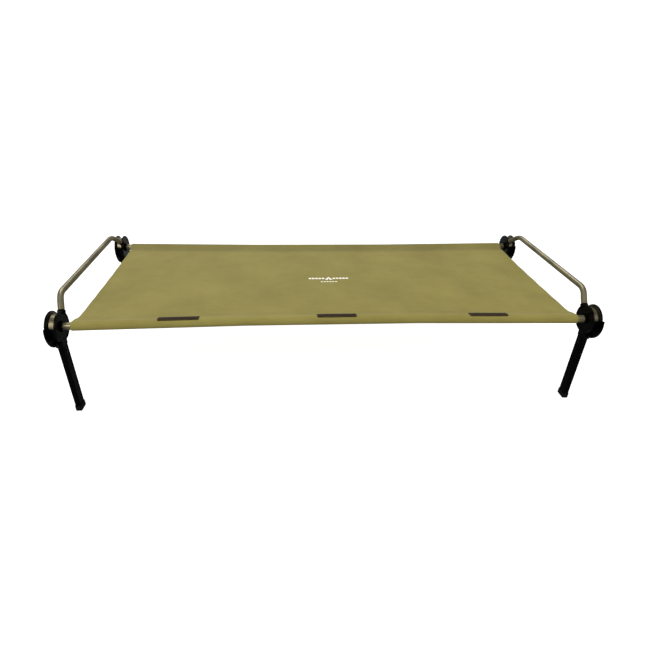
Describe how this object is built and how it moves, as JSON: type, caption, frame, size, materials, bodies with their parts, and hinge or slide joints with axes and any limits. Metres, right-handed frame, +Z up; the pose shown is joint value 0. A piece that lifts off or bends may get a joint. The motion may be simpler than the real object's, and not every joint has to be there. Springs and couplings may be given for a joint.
{
  "type": "folding cot",
  "caption": "Camp cot with a fabric deck on two side rails, bent end bars, round hub discs and legs that fold inward under the ends.",
  "frame": {"origin": "on the floor under the middle of the deck", "axes": "+X along the cot, +Y across it to the rear side, +Z up"},
  "size_m": [2.047, 0.938, 0.4715],
  "materials": {
    "deck_fabric": "woven olive polyester, dull",
    "loop_tape": "dark brown loop tape",
    "tube_paint": "bronze grey powder coat, satin",
    "hub_metal": "bronze grey lacquer over steel, satin",
    "zinc_steel": "zinc plated",
    "black_nylon": "moulded nylon, fine grain",
    "leg_paint": "black powder coat",
    "foot_rubber": "moulded rubber",
    "rivet_steel": "black steel",
    "washer_nylon": "natural nylon"
  },
  "bodies": {
    "deck": {"deck_fabric": "deck_fabric", "loop_strips": "loop_tape", "front_rail_left": "tube_paint", "front_rail_middle": "tube_paint", "front_rail_right": "tube_paint", "rear_rail_left": "tube_paint", "rear_rail_middle": "tube_paint", "rear_rail_right": "tube_paint", "front_rail_joiners": "zinc_steel", "rear_rail_joiners": "zinc_steel", "front_left_rail_plug": "black_nylon", "front_right_rail_plug": "black_nylon", "rear_left_rail_plug": "black_nylon", "rear_right_rail_plug": "black_nylon"},
    "left_frame": {"left_end_bar": "tube_paint", "left_axle_bolts": "zinc_steel", "left_axle_nuts": "zinc_steel", "left_thrust_washers": "washer_nylon", "left_stop_pins": "zinc_steel", "front_left_inner_disc": "black_nylon", "front_left_hub_drum": "hub_metal", "front_left_outer_plate": "hub_metal", "front_left_outer_cover": "black_nylon", "rear_left_inner_disc": "black_nylon", "rear_left_hub_drum": "hub_metal", "rear_left_outer_plate": "hub_metal", "rear_left_outer_cover": "black_nylon"},
    "right_frame": {"right_end_bar": "tube_paint", "right_axle_bolts": "zinc_steel", "right_axle_nuts": "zinc_steel", "right_thrust_washers": "washer_nylon", "right_stop_pins": "zinc_steel", "front_right_inner_disc": "black_nylon", "front_right_hub_drum": "hub_metal", "front_right_outer_plate": "hub_metal", "front_right_outer_cover": "black_nylon", "rear_right_inner_disc": "black_nylon", "rear_right_hub_drum": "hub_metal", "rear_right_outer_plate": "hub_metal", "rear_right_outer_cover": "black_nylon"},
    "front_left_leg": {"front_left_leg_head": "black_nylon", "front_left_leg_tube": "leg_paint", "front_left_foot_cap": "foot_rubber", "front_left_leg_rivets": "rivet_steel"},
    "rear_left_leg": {"rear_left_leg_head": "black_nylon", "rear_left_leg_tube": "leg_paint", "rear_left_foot_cap": "foot_rubber", "rear_left_leg_rivets": "rivet_steel"},
    "front_right_leg": {"front_right_leg_head": "black_nylon", "front_right_leg_tube": "leg_paint", "front_right_foot_cap": "foot_rubber", "front_right_leg_rivets": "rivet_steel"},
    "rear_right_leg": {"rear_right_leg_head": "black_nylon", "rear_right_leg_tube": "leg_paint", "rear_right_foot_cap": "foot_rubber", "rear_right_leg_rivets": "rivet_steel"}
  },
  "joints": [
    {"name": "left_frame_pull", "type": "slide", "parent": "deck", "child": "left_frame", "axis": [-1, 0, 0], "range_m": [0, 0.02]},
    {"name": "right_frame_pull", "type": "slide", "parent": "deck", "child": "right_frame", "axis": [1, 0, 0], "range_m": [0, 0.02]},
    {"name": "front_left_leg_fold", "type": "hinge", "parent": "left_frame", "child": "front_left_leg", "pos_m": [-1.0085, -0.393, 0.374], "axis": [1, 0, 0], "range_deg": [0, 90]},
    {"name": "rear_left_leg_fold", "type": "hinge", "parent": "left_frame", "child": "rear_left_leg", "pos_m": [-1.0085, 0.393, 0.374], "axis": [-1, 0, 0], "range_deg": [0, 90]},
    {"name": "front_right_leg_fold", "type": "hinge", "parent": "right_frame", "child": "front_right_leg", "pos_m": [1.0085, -0.393, 0.374], "axis": [1, 0, 0], "range_deg": [0, 90]},
    {"name": "rear_right_leg_fold", "type": "hinge", "parent": "right_frame", "child": "rear_right_leg", "pos_m": [1.0085, 0.393, 0.374], "axis": [-1, 0, 0], "range_deg": [0, 90]}
  ]
}
